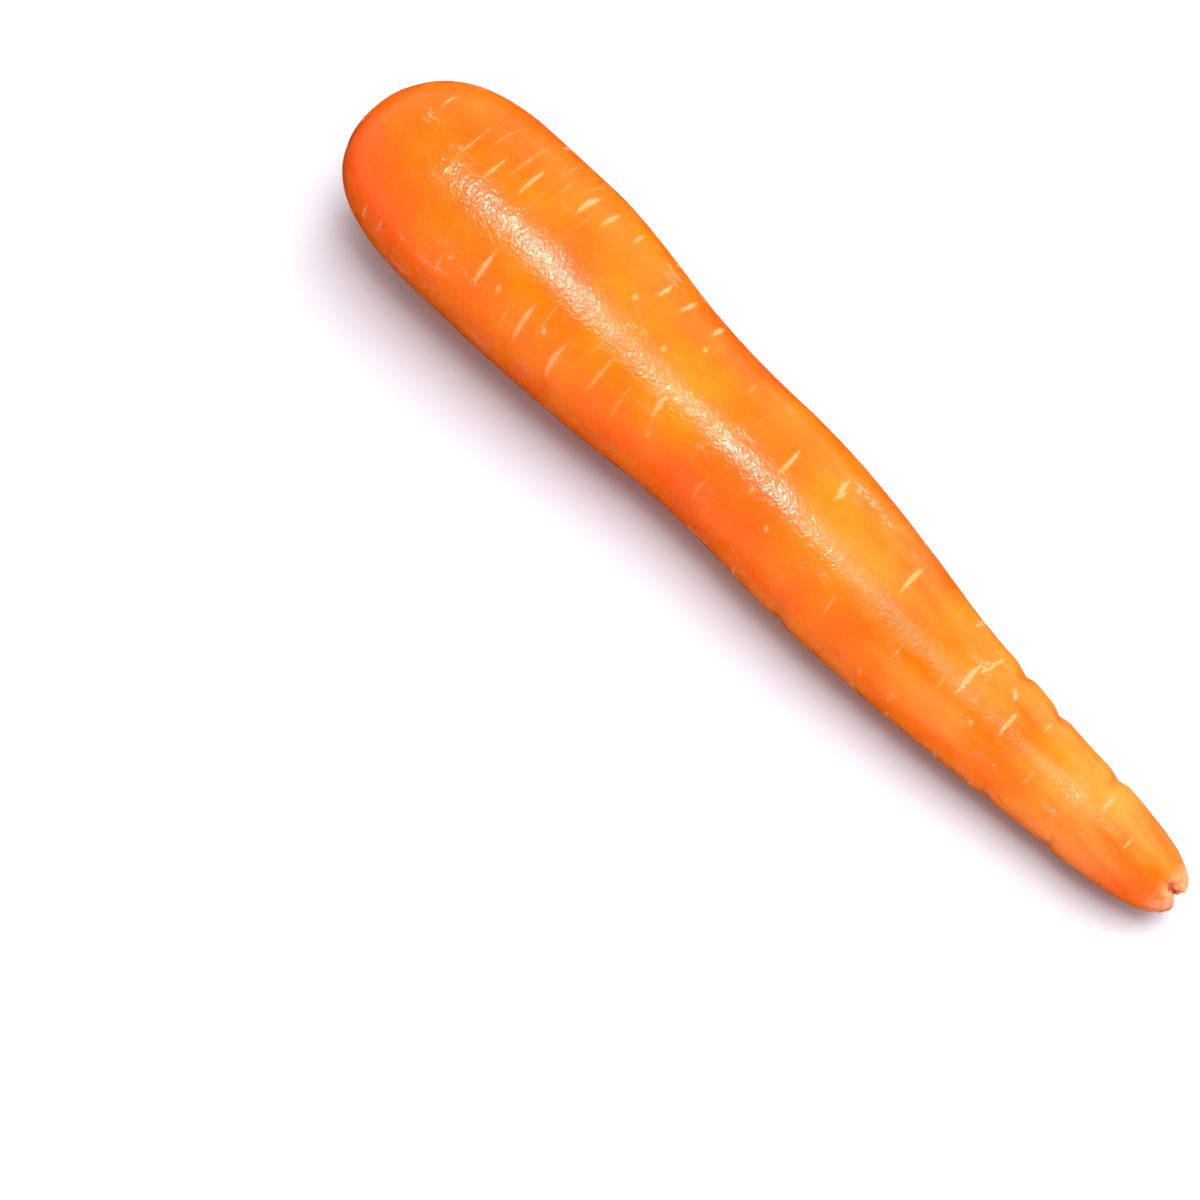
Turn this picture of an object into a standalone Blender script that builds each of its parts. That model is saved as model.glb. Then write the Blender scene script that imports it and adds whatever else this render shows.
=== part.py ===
# A topped carrot: one taproot lying on its side, crown towards -X and tip towards +X.
# It is turned as a straight root, then bent, creased and settled on the surface it lies on.
# Metres, +Z up. The origin is on that surface, under the middle of the root's bounding box.

import math

import bmesh
import bpy

# Driving dimensions
LENGTH = 0.215  # crown to tip
SHOULDER_RADIUS = 0.0203  # at the widest place, just behind the crown
OVALITY = 0.965  # height of a section over its width

# Shares of the length, counted from the crown, and of the shoulder radius
CROWN_ROUND = 0.14  # length of the rounded shoulder
CROWN_FULLNESS = 2.55  # 2 is an ellipse, more is squarer
WAIST = (0.20, 0.44)  # the first soft step of the taper
WAIST_DROP = 0.20
TAIL = (0.50, 0.95)  # the long second step
TAIL_DROP = 0.365
TIP_ROUND = 0.12  # length of the blunt end
TIP_FULLNESS = 2.5
CROWN_LEAN = 0.11  # how far the crown's +Y side is set back, as a share of its distance from the middle line
LEAN_END = 0.20  # where the lean has died out

# The root's middle line
SIDE_BENDS = (  # each moves what follows it to one side: where it starts and ends, and how far
    (0.22, 0.36, 0.0013),
    (0.44, 0.80, 0.0044),
)
TAIL_SINK = 0.0125  # how much lower the tip's middle lies than the crown's: shoulder and belly both touch
REST_FLAT = 0.0003  # depth of the flat that the root lies on

# The scar of the leaves, a shallow dish in the crown
SCAR_RADIUS = 0.0076
SCAR_DEPTH = 0.0015
SCAR_WALL = 7.0  # the higher, the steeper the dish's side
HEART_RADIUS = 0.0030  # the slightly raised middle of the dish
HEART_HEIGHT = 0.0009

# Cross creases of the tail: place along the root, direction round it, depth, half width along, reach round.
# Direction 0 faces +Y and 90 degrees faces up.
CREASES = (
    (0.771, 24.0, 0.00080, 0.0016, 44.0),
    (0.817, 20.0, 0.00075, 0.0017, 40.0),
    (0.889, 26.0, 0.00080, 0.0015, 44.0),
    (0.815, 188.0, 0.00055, 0.0015, 34.0),
    (0.884, 188.0, 0.00055, 0.0014, 36.0),
    (0.576, 186.0, 0.00045, 0.0022, 30.0),
)
# Long shallow ridges: count round the root, height as a share of the radius, first direction, twist in all
RIDGES = (
    (3, 0.007, 25.0, 40.0),
    (5, 0.004, 80.0, -60.0),
)

# The upright cleft across the broken tip, as an ellipsoid: half sizes, centre from the tip's end, and turn
CLEFT_SIZE = (0.0025, 0.0018, 0.0060)
CLEFT_AT = (0.0005, -0.0003, 0.0)
CLEFT_TURN = 7.0

SIDES = 48
SCAR_RINGS = 8
CROWN_RINGS = 12
BODY_RINGS = 30
TAIL_RINGS = 30
TIP_RINGS = 9
TAIL_START = 0.70  # the tail's rings are closer, to carry its creases
MERGE = 0.00001

SKIN_COLOUR = (0.95, 0.23, 0.012, 1.0)


def clear_scene():
    for obj in list(bpy.data.objects):
        bpy.data.objects.remove(obj, do_unlink=True)


def soft_step(span, along):
    share = min(1.0, max(0.0, (along - span[0]) / (span[1] - span[0])))
    return share * share * (3.0 - 2.0 * share)


def rounded_end(share, fullness):
    if share >= 1.0:
        return 1.0
    return (1.0 - (1.0 - max(0.0, share)) ** fullness) ** (1.0 / fullness)


def radius_at(along):
    taper = 1.0 - WAIST_DROP * soft_step(WAIST, along) - TAIL_DROP * soft_step(TAIL, along)
    crown = rounded_end(along / CROWN_ROUND, CROWN_FULLNESS)
    tip = rounded_end((1.0 - along) / TIP_ROUND, TIP_FULLNESS)
    return SHOULDER_RADIUS * taper * crown * tip


def place_of_radius(radius):
    # How far from the crown the shoulder's round surface reaches this radius.
    share = radius / SHOULDER_RADIUS
    return CROWN_ROUND * (1.0 - (1.0 - share ** CROWN_FULLNESS) ** (1.0 / CROWN_FULLNESS))


def scar_profile():
    # The dish, from its middle out to its rim, as (radius, place along the root).
    points = []
    for ring in range(SCAR_RINGS):
        share = (ring / SCAR_RINGS) ** 0.8
        radius = SCAR_RADIUS * share
        dish = SCAR_DEPTH * (1.0 - share ** SCAR_WALL)
        heart = HEART_HEIGHT * math.exp(-((radius / HEART_RADIUS) ** 2))
        points.append((radius, place_of_radius(radius) + (dish - heart) / LENGTH))
    return points


def skin_places():
    # Where the rings of the skin lie along the root, from the scar's rim to the tip.
    places = []
    rim = place_of_radius(SCAR_RADIUS)
    for ring in range(CROWN_RINGS):
        swing = 0.5 * math.pi * ring / CROWN_RINGS
        places.append(rim + (CROWN_ROUND - rim) * (1.0 - math.cos(swing)))
    for ring in range(BODY_RINGS):
        places.append(CROWN_ROUND + (TAIL_START - CROWN_ROUND) * ring / BODY_RINGS)
    for ring in range(TAIL_RINGS):
        places.append(TAIL_START + (1.0 - TIP_ROUND - TAIL_START) * ring / TAIL_RINGS)
    for ring in range(TIP_RINGS + 1):
        swing = 0.5 * math.pi * ring / TIP_RINGS
        places.append(1.0 - TIP_ROUND + TIP_ROUND * math.sin(swing))
    return places


def root_profile():
    return scar_profile() + [(radius_at(along), along) for along in skin_places()]


def turned_root():
    # The straight root, turned about Z with its crown up.
    profile = bpy.data.meshes.new("root_profile")
    points = [(radius, 0.0, -along * LENGTH) for radius, along in root_profile()]
    edges = [(i, i + 1) for i in range(len(points) - 1)]
    profile.from_pydata(points, edges, [])
    lathe = bpy.data.objects.new("root_lathe", profile)
    bpy.context.scene.collection.objects.link(lathe)
    screw = lathe.modifiers.new("turn", "SCREW")
    screw.steps = SIDES
    screw.render_steps = SIDES
    screw.use_merge_vertices = True
    screw.merge_threshold = MERGE
    graph = bpy.context.evaluated_depsgraph_get()
    mesh = bpy.data.meshes.new_from_object(lathe.evaluated_get(graph))
    bpy.data.objects.remove(lathe, do_unlink=True)
    return mesh


def ridge_share(along, angle):
    total = 0.0
    for count, height, start, twist in RIDGES:
        total += height * math.cos(count * (angle - math.radians(start + twist * along)))
    return total * soft_step((0.0, CROWN_ROUND), along)


def crease_depth(along, angle):
    total = 0.0
    for place, direction, depth, width, reach in CREASES:
        turn = math.remainder(angle - math.radians(direction), 2.0 * math.pi)
        across = math.exp(-((turn / math.radians(reach)) ** 2))
        total += depth * across * math.exp(-(((along - place) * LENGTH / width) ** 2))
    return total


def middle_line(along):
    side = sum(shift * (1.0 - soft_step((start, end), along)) for start, end, shift in SIDE_BENDS)
    return side, -TAIL_SINK * along


def crown_lean(along):
    return CROWN_LEAN * (1.0 - soft_step((0.0, LEAN_END), along))


def shape_root(mesh):
    # Bends the straight root, adds its ridges and creases, and lays it down.
    for vertex in mesh.vertices:
        across, up, depth = vertex.co
        along = -depth / LENGTH
        radius = math.hypot(across, up)
        angle = math.atan2(up, across)
        if radius > SCAR_RADIUS:
            radius = radius * (1.0 + ridge_share(along, angle)) - crease_depth(along, angle)
        side, height = middle_line(along)
        vertex.co.x = along * LENGTH + crown_lean(along) * radius * math.cos(angle)
        vertex.co.y = side + radius * math.cos(angle)
        vertex.co.z = height + radius * math.sin(angle) * OVALITY


def tip_cleft(tip):
    mesh = bpy.data.meshes.new("tip_cleft")
    shape = bmesh.new()
    bmesh.ops.create_icosphere(shape, subdivisions=3, radius=1.0)
    bmesh.ops.scale(shape, vec=CLEFT_SIZE, verts=shape.verts)
    shape.to_mesh(mesh)
    shape.free()
    cleft = bpy.data.objects.new("tip_cleft", mesh)
    cleft.location = (tip[0] + CLEFT_AT[0], tip[1] + CLEFT_AT[1], tip[2] + CLEFT_AT[2])
    cleft.rotation_euler = (math.radians(CLEFT_TURN), 0.0, 0.0)
    cleft.hide_render = True
    cleft.display_type = "WIRE"
    return cleft


def settle(mesh):
    # Puts the root on the surface, with a narrow flat where it touches, and the origin under the box's middle.
    lowest = min(vertex.co.z for vertex in mesh.vertices) + REST_FLAT
    ends = [[limit(vertex.co[axis] for vertex in mesh.vertices) for limit in (min, max)] for axis in (0, 1)]
    for vertex in mesh.vertices:
        vertex.co.x -= 0.5 * sum(ends[0])
        vertex.co.y -= 0.5 * sum(ends[1])
        vertex.co.z = max(0.0, vertex.co.z - lowest)


def skin_material():
    material = bpy.data.materials.new("skin")
    material.use_nodes = True
    shader = material.node_tree.nodes["Principled BSDF"]
    shader.inputs["Base Color"].default_value = SKIN_COLOUR
    shader.inputs["Roughness"].default_value = 0.34
    shader.inputs["Metallic"].default_value = 0.0
    return material


def collection_named(name):
    collection = bpy.data.collections.new(name)
    bpy.context.scene.collection.children.link(collection)
    return collection


def build_carrot():
    mesh = turned_root()
    shape_root(mesh)
    settle(mesh)
    mesh.name = "carrot"
    mesh.shade_smooth()
    mesh.materials.append(skin_material())
    carrot = bpy.data.objects.new("carrot", mesh)
    collection_named("carrot_parts").objects.link(carrot)

    tip = max((vertex.co for vertex in mesh.vertices), key=lambda place: place.x)
    cleft = tip_cleft(tip)
    collection_named("cutters").objects.link(cleft)
    cut = carrot.modifiers.new("tip_cleft", "BOOLEAN")
    cut.operation = "DIFFERENCE"
    cut.solver = "EXACT"
    cut.object = cleft


clear_scene()
build_carrot()
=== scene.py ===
import math
from functools import partial

import bpy
import numpy as np
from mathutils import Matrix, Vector


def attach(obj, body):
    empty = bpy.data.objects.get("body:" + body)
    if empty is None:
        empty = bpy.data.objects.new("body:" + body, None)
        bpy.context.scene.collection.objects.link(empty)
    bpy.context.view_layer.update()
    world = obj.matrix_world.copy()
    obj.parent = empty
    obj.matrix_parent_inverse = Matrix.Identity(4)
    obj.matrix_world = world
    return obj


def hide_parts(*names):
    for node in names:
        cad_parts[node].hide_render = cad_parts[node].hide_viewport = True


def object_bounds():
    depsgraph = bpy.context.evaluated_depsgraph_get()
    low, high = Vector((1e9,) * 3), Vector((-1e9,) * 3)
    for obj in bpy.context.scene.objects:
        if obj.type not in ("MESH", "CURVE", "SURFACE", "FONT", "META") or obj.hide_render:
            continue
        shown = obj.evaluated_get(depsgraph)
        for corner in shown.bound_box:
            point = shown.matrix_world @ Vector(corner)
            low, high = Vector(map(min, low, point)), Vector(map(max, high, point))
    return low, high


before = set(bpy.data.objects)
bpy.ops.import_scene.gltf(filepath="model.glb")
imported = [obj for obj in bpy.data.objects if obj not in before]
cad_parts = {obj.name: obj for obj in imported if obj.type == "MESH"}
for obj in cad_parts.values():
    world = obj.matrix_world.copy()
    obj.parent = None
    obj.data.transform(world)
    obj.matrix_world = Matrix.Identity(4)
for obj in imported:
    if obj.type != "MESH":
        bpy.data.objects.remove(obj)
cadLow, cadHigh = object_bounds()

# The root as it grew, in metres and in shares of its length, crown first. Directions are in degrees
# round the root: 0 faces +Y, 90 faces up.
root = {
    "length": 0.215,
    "shoulderRadius": 0.0203,
    "ovality": 0.965,
    "crownRound": 0.14,
    "crownFullness": 2.55,
    "waist": (0.20, 0.44),
    "waistDrop": 0.20,
    "tail": (0.50, 0.95),
    "tailDrop": 0.365,
    "tipRound": 0.12,
    "tipFullness": 2.5,
    "crownLean": 0.11,  # how far the crown's +Y side is set back, as a share of its distance out
    "leanEnd": 0.20,
    "sideBends": ((0.22, 0.36, 0.0013), (0.44, 0.80, 0.0044)),
    "tailSink": 0.0125,
    "restFlat": 0.0003,
    "scarRadius": 0.0076,
    "scarDepth": 0.0015,
    "scarWall": 7.0,
    "heartRadius": 0.0030,
    "heartHeight": 0.0009,
    # count round the root, height as a share of the radius, first direction, twist over the length
    "ridges": ((3, 0.007, 25.0, 40.0), (5, 0.004, 80.0, -60.0)),
    # place along, direction, depth, half width along, reach round in degrees
    "creases": (
        (0.771, 24.0, 0.00080, 0.0015, 44.0),
        (0.817, 20.0, 0.00075, 0.0016, 40.0),
        (0.889, 26.0, 0.00075, 0.0015, 44.0),
        (0.815, 188.0, 0.00050, 0.0014, 34.0),
        (0.884, 188.0, 0.00050, 0.0014, 36.0),
        (0.576, 186.0, 0.00045, 0.0018, 30.0),
    ),
}

# How finely the outline and the resting place are worked out; the turn is in degrees.
steps = {"dish": 60, "outline": 700, "resting": 400, "restingTurn": 6}


def softStep(start, end, along):
    share = min(1.0, max(0.0, (along - start) / (end - start)))
    return share * share * (3.0 - 2.0 * share)


def roundedEnd(share, fullness):
    if share >= 1.0:
        return 1.0
    return (1.0 - (1.0 - max(0.0, share)) ** fullness) ** (1.0 / fullness)


def radiusAt(along):
    taper = 1.0 - root["waistDrop"] * softStep(*root["waist"], along)
    taper -= root["tailDrop"] * softStep(*root["tail"], along)
    crown = roundedEnd(along / root["crownRound"], root["crownFullness"])
    tip = roundedEnd((1.0 - along) / root["tipRound"], root["tipFullness"])
    return root["shoulderRadius"] * taper * crown * tip


def placeOfRadius(radius):
    # how far from the crown the shoulder reaches this radius
    full = root["crownFullness"]
    share = radius / root["shoulderRadius"]
    return root["crownRound"] * (1.0 - (1.0 - share ** full) ** (1.0 / full))


def middleLine(along):
    side = sum(shift * (1.0 - softStep(start, end, along)) for start, end, shift in root["sideBends"])
    return side, -root["tailSink"] * along


def rootPoint(along, direction):
    # a place on the plain root, before it is moved to where it lies
    side, height = middleLine(along)
    radius = radiusAt(along)
    turn = math.radians(direction)
    lean = root["crownLean"] * (1.0 - softStep(0.0, root["leanEnd"], along))
    return Vector((along * root["length"] + lean * radius * math.cos(turn), side + radius * math.cos(turn),
                   height + radius * math.sin(turn) * root["ovality"]))


def restingShift():
    # from the root's own place to the frame's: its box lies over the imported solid's box
    rings = [0.0005 + 0.999 * i / steps["resting"] for i in range(steps["resting"] + 1)]
    turns = range(0, 360, steps["restingTurn"])
    cloud = [rootPoint(along, turn) for along in rings for turn in turns]
    low = [min(p[axis] for p in cloud) for axis in range(3)]
    high = [max(p[axis] for p in cloud) for axis in range(3)]
    middle = (cadLow + cadHigh) / 2
    return Vector((middle.x - (low[0] + high[0]) / 2, middle.y - (low[1] + high[1]) / 2,
                   cadLow.z - low[2] - root["restFlat"]))


shift = restingShift()


def hexColour(text, alpha=1.0):
    channels = [int(text[i:i + 2], 16) / 255 for i in (1, 3, 5)]
    linear = [c / 12.92 if c <= 0.04045 else ((c + 0.055) / 1.055) ** 2.4 for c in channels]
    return (*linear, alpha)


def addNode(tree, kind, *values, into=None, **settings):
    # kind may end in ".OPERATION"; values fill the open sockets in order, into fills them by name
    kind, _, operation = kind.partition(".")
    node = tree.nodes.new(kind)
    if operation:
        node.operation = operation
    for name, value in settings.items():
        setattr(node, name, value)
    sockets = [s for s in node.inputs if s.enabled]
    named = {s.name: s for s in reversed(sockets)}
    pairs = [*zip(sockets, values), *((named[name], value) for name, value in (into or {}).items())]
    for socket, value in pairs:
        if isinstance(value, bpy.types.Node):
            value = next(s for s in value.outputs if s.enabled)
        if isinstance(value, bpy.types.NodeSocket):
            tree.links.new(value, socket)
        elif value is not None:
            socket.default_value = value
    return node


def newTree(name, sockets):
    tree = bpy.data.node_groups.new(name, "GeometryNodeTree")
    tree.interface.new_socket("Geometry", in_out="OUTPUT", socket_type="NodeSocketGeometry")
    for title, kind in sockets.items():
        tree.interface.new_socket(title, in_out="INPUT", socket_type="NodeSocket" + kind)
    return tree


def growPiece(name, tree, values):
    # runs the tree on an empty mesh and keeps what it made as a plain mesh
    host = bpy.data.objects.new(name + "Host", bpy.data.meshes.new(name + "Host"))
    bpy.context.scene.collection.objects.link(host)
    modifier = host.modifiers.new("grow", "NODES")
    modifier.node_group = tree
    for item in tree.interface.items_tree:
        if item.in_out == "INPUT":
            modifier[item.identifier] = values[item.name]
    bpy.context.view_layer.update()
    graph = bpy.context.evaluated_depsgraph_get()
    mesh = bpy.data.meshes.new_from_object(host.evaluated_get(graph))
    bpy.data.objects.remove(host, do_unlink=True)
    mesh.name = name
    mesh.shade_smooth()
    piece = bpy.data.objects.new(name, mesh)
    bpy.context.scene.collection.objects.link(piece)
    print(name, len(mesh.vertices), "vertices", len(mesh.polygons), "faces")
    return piece


def guideObject(name, points, edges, attributes):
    # a wire that a tree reads; it is removed before the end
    mesh = bpy.data.meshes.new(name)
    mesh.from_pydata(points, edges, [])
    for title, values in attributes.items():
        kind = "FLOAT_VECTOR" if len(np.shape(values)) == 2 else "FLOAT"
        field = "vector" if kind == "FLOAT_VECTOR" else "value"
        layer = mesh.attributes.new(title, kind, "POINT")
        layer.data.foreach_set(field, np.asarray(values, np.float32).ravel())
    guide = bpy.data.objects.new(name, mesh)
    bpy.context.scene.collection.objects.link(guide)
    guide.hide_render = True
    return guide


def profileGuide():
    # The outline from the middle of the crown to the tip, as x along the root and y out from it. "middle"
    # holds the share of the scar's radius, then the middle line's side and height.
    points = []
    middles = []
    rim = placeOfRadius(root["scarRadius"])
    for i in range(steps["dish"]):
        share = i / steps["dish"]
        radius = root["scarRadius"] * share
        dish = root["scarDepth"] * (1.0 - share ** root["scarWall"])
        heart = root["heartHeight"] * math.exp(-((radius / root["heartRadius"]) ** 2))
        along = placeOfRadius(radius) + (dish - heart) / root["length"]
        points.append((along * root["length"], radius, 0.0))
        middles.append((share, *middleLine(along)))
    for i in range(steps["outline"] + 1):
        swing = math.pi * i / steps["outline"]
        along = rim + (1.0 - rim) * (0.5 - 0.5 * math.cos(swing))
        points.append((along * root["length"], radiusAt(along), 0.0))
        middles.append((1.0 + (along - rim) * root["length"] / root["scarRadius"], *middleLine(along)))
    edges = [(i, i + 1) for i in range(len(points) - 1)]
    return guideObject("profileGuide", points, edges, {"middle": middles})


# Cross scars of the skin (lenticels), where side rootlets and pores grew.
scars = {
    # place along, direction of the middle, length and width in mm, lean along the root in mm, paleness
    "placed": (
        (0.058, 66, 6.0, 0.5, 0.3, 0.45), (0.136, 83, 7.5, 0.55, -0.2, 0.55),
        (0.168, 73, 8.5, 0.65, 0.2, 0.6), (0.190, 60, 8.0, 0.4, 0.5, 0.3),
        (0.216, 58, 7.5, 0.95, -0.3, 0.8), (0.238, 54, 6.5, 0.8, -0.2, 0.65),
        (0.265, 46, 5.5, 0.7, 0.3, 0.6), (0.315, 57, 5.5, 0.7, 0.0, 0.7),
        (0.339, 49, 7.0, 0.75, -0.3, 0.7), (0.154, 144, 5.5, 0.5, 0.3, 0.4),
        (0.190, 126, 8.0, 0.9, 0.1, 0.8), (0.230, 139, 6.5, 0.4, -0.3, 0.35),
        (0.247, 135, 9.5, 0.8, 0.3, 0.7), (0.289, 139, 8.5, 0.9, 0.0, 0.85),
        (0.327, 125, 9.5, 0.55, -0.4, 0.5), (0.072, 158, 5.0, 0.5, 0.4, 0.5),
        (0.090, 155, 4.5, 0.5, -0.2, 0.5), (0.385, 114, 5.5, 0.8, 0.6, 0.75),
        (0.372, 43, 6.0, 0.8, 0.2, 0.7), (0.430, 60, 4.0, 0.45, 0.2, 0.4),
        (0.501, 81, 6.5, 0.7, 0.2, 0.8), (0.551, 64, 5.0, 0.8, 0.9, 0.9),
        (0.553, 70, 4.0, 0.5, -0.8, 0.7), (0.647, 68, 7.5, 0.8, 0.3, 0.85),
        (0.741, 88, 8.5, 0.8, 0.3, 0.9), (0.750, 60, 6.0, 0.6, -0.2, 0.7),
        (0.792, 91, 5.5, 0.7, 0.2, 0.85), (0.818, 60, 4.0, 0.5, 0.2, 0.5),
        (0.900, 76, 4.5, 0.8, 0.2, 0.8), (0.880, 165, 4.0, 0.8, 0.2, 0.8),
        (0.610, 130, 5.0, 0.4, 0.3, 0.4), (0.458, 140, 6.0, 0.4, -0.2, 0.4),
        (0.700, 150, 4.0, 0.45, 0.2, 0.45), (0.104, 79, 11.0, 0.4, 0.4, 0.34),
        (0.121, 62, 12.0, 0.4, -0.3, 0.32), (0.150, 63, 13.0, 0.4, 0.4, 0.34),
        (0.179, 46, 10.0, 0.4, 0.3, 0.32), (0.205, 42, 9.0, 0.4, -0.2, 0.34),
        (0.263, 126, 11.0, 0.4, 0.4, 0.32), (0.309, 110, 9.0, 0.4, -0.3, 0.30),
        (0.356, 131, 10.0, 0.4, 0.3, 0.34), (0.680, 118, 5.0, 0.45, 0.2, 0.4),
        (0.835, 118, 4.0, 0.4, -0.2, 0.4), (0.725, 108, 3.5, 0.4, 0.2, 0.4),
        (0.935, 95, 3.0, 0.5, 0.3, 0.6),
    ),
    # place along, direction
    "dots": (
        (0.110, 100), (0.210, 130), (0.265, 130), (0.381, 65), (0.393, 134), (0.493, 113),
        (0.527, 124), (0.768, 115), (0.667, 154), (0.775, 62), (0.781, 66), (0.356, 86),
        (0.302, 76),
    ),
    "strewnCount": 88,
    "strewnLength": (2.5, 9.0),
    "strewnWidth": (0.35, 0.9),
    "bareSide": (30.0, 175.0),  # the strewn ones keep off these directions, which the placed ones fill
    "seed": 7,
    "pointsEach": 11,
    "dotSize": (0.9, 0.75, 0.15, 0.9),  # length, width, lean and paleness, as above
    "bow": 0.25,
}


def scarRows():
    # (along, direction, length, width, lean, paleness) of every cross scar
    rows = list(scars["placed"])
    rows += [(along, turn, *scars["dotSize"]) for along, turn in scars["dots"]]
    draw = np.random.default_rng(scars["seed"])
    low, high = scars["bareSide"]
    for _ in range(scars["strewnCount"]):
        along = draw.uniform(0.05, 0.97)
        turn = draw.uniform(high, low + 360.0)
        length = draw.uniform(*scars["strewnLength"]) * draw.uniform(0.5, 1.0)
        width = draw.uniform(*scars["strewnWidth"])
        rows.append((along, turn, length, width, draw.normal(0.0, 0.3), draw.uniform(0.3, 0.9)))
    return rows


def scarGuide():
    points, edges, widths, pales = [], [], [], []
    wobble = np.random.default_rng(scars["seed"] + 1)
    for along, turn, length, width, lean, pale in scarRows():
        sweep = math.degrees(length / 1000 / radiusAt(along))
        bow = wobble.normal(0.0, scars["bow"])
        for i in range(scars["pointsEach"]):
            share = i / (scars["pointsEach"] - 1)
            drift = (lean * (share - 0.5) + bow * math.sin(math.pi * share)) / 1000 / root["length"]
            points.append(rootPoint(along + drift, turn + sweep * (share - 0.5)))
            swell = math.sin(math.pi * (0.04 + 0.92 * share)) ** 0.8
            widths.append(0.5 * width / 1000 * swell * wobble.uniform(0.75, 1.1))
            pales.append(pale * swell ** 0.5)
            if i:
                edges.append((len(points) - 2, len(points) - 1))
    return guideObject("scarGuide", points, edges, {"halfWidth": widths, "pale": pales})


# The skin: one closed grid wrapped round the root. Heights, sizes, depths and widths are in metres.
skin = {
    "rings": 780,
    "sides": 124,
    "lumpHeight": 0.00032,
    "lumpSize": 0.020,
    "dimpleHeight": 0.00014,
    "dimpleSize": 0.0045,
    "wrinkleHeight": 0.00006,
    "wrinkleSize": 0.0016,
    "grooveHeight": 0.00026,
    "grooveSize": 0.0060,
    "scarDent": 0.00016,
    "scarLip": 0.00007,
    "cleftDepth": 0.0020,
    "cleftWidth": 0.0012,
    "cleftTurn": 97.0,
    "tearHeight": 0.0011,
    "fibreHeight": 0.00060,
    "creaseCut": 0.95,  # cut and lift are shares of a crease's depth
    "creaseLift": 0.45,
    "creaseSpread": 0.035,
    "leastScar": 0.00012,
    "rimDip": 0.00022,
    "cleftWander": 0.0016,
    "cleftOff": 0.0004,
    "weld": 0.000002,
}

# Each of the tree's inputs and where its value is above.
skinInputs = {
    "Rings": "rings", "Sides": "sides", "Lump Height": "lumpHeight", "Lump Size": "lumpSize",
    "Dimple Height": "dimpleHeight", "Dimple Size": "dimpleSize", "Wrinkle Height": "wrinkleHeight",
    "Wrinkle Size": "wrinkleSize", "Groove Height": "grooveHeight", "Groove Size": "grooveSize",
    "Scar Dent": "scarDent", "Scar Lip": "scarLip", "Cleft Depth": "cleftDepth", "Cleft Width": "cleftWidth",
    "Tear Height": "tearHeight", "Fibre Height": "fibreHeight",
}


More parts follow.
